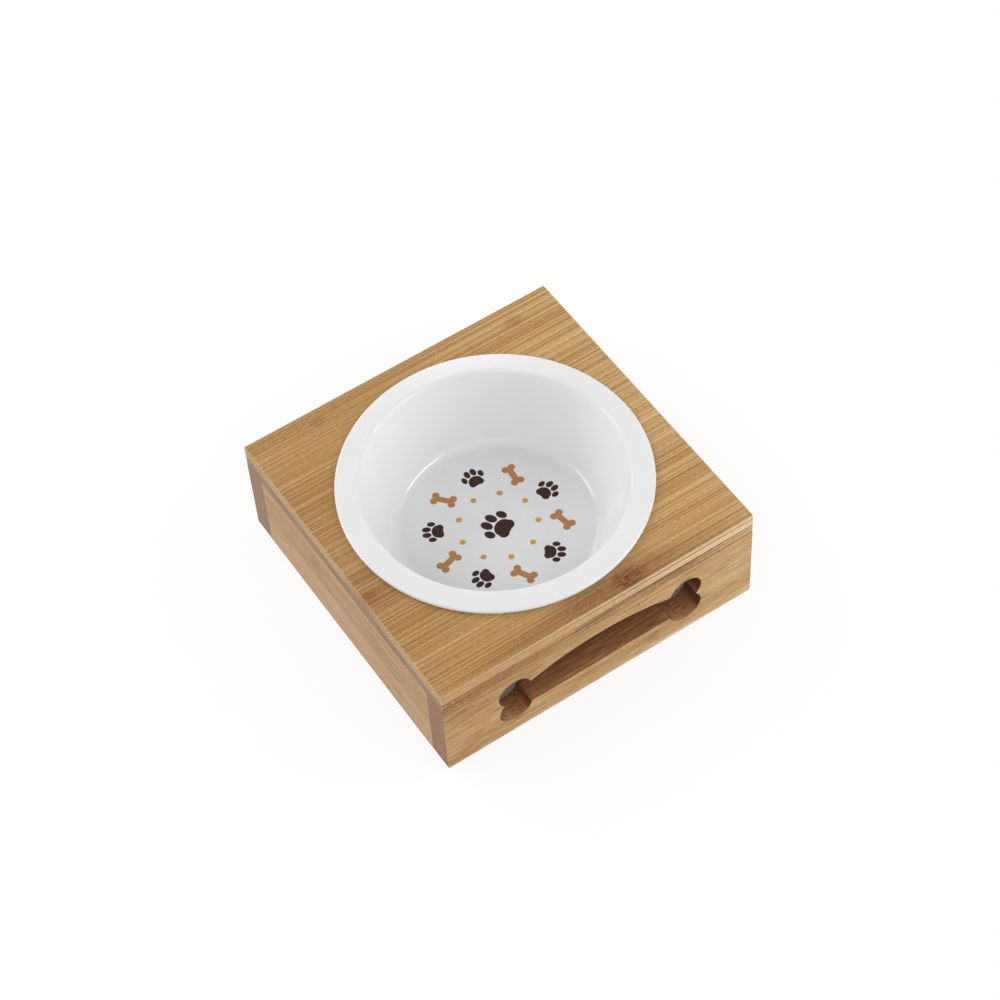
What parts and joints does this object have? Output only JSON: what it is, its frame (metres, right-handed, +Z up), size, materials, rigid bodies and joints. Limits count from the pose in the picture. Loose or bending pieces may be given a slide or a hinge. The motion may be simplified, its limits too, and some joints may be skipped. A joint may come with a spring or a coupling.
{
  "type": "pet bowl with stand",
  "caption": "Square laminated bamboo stand with bone-shaped hand-holds in its front and back boards, carrying a flanged round ceramic bowl that lifts out of its hole.",
  "frame": {"origin": "on the floor, under the middle of the stand", "axes": "+Z up, -Y towards the front board with its hand-hold, +X to the right seen from the front"},
  "size_m": [0.2, 0.2, 0.0748],
  "materials": {
    "glazed_ceramic": "gloss white glaze with a printed floor",
    "bamboo_light": "satin lacquered bamboo, golden tan, fine straight grain",
    "bamboo_brown": "satin lacquered bamboo, carbonised brown",
    "bamboo_board": "satin lacquered bamboo, light tan",
    "dowel_wood": "bare beech",
    "pad_rubber": "matt black rubber"
  },
  "bodies": {
    "stand": {"top_upper_layer": "bamboo_light", "top_lower_layer": "bamboo_brown", "front_board": "bamboo_board", "back_board": "bamboo_board", "left_board": "bamboo_board", "right_board": "bamboo_board", "front_left_dowels": "dowel_wood", "front_right_dowels": "dowel_wood", "back_left_dowels": "dowel_wood", "back_right_dowels": "dowel_wood", "front_top_dowels": "dowel_wood", "back_top_dowels": "dowel_wood", "left_top_dowels": "dowel_wood", "right_top_dowels": "dowel_wood", "front_left_pad": "pad_rubber", "front_right_pad": "pad_rubber", "back_left_pad": "pad_rubber", "back_right_pad": "pad_rubber"},
    "bowl": {"bowl": "glazed_ceramic"}
  },
  "joints": [
    {"name": "bowl_lift", "type": "slide", "parent": "stand", "child": "bowl", "axis": [0, 0, 1], "range_m": [0, 0.08]}
  ]
}
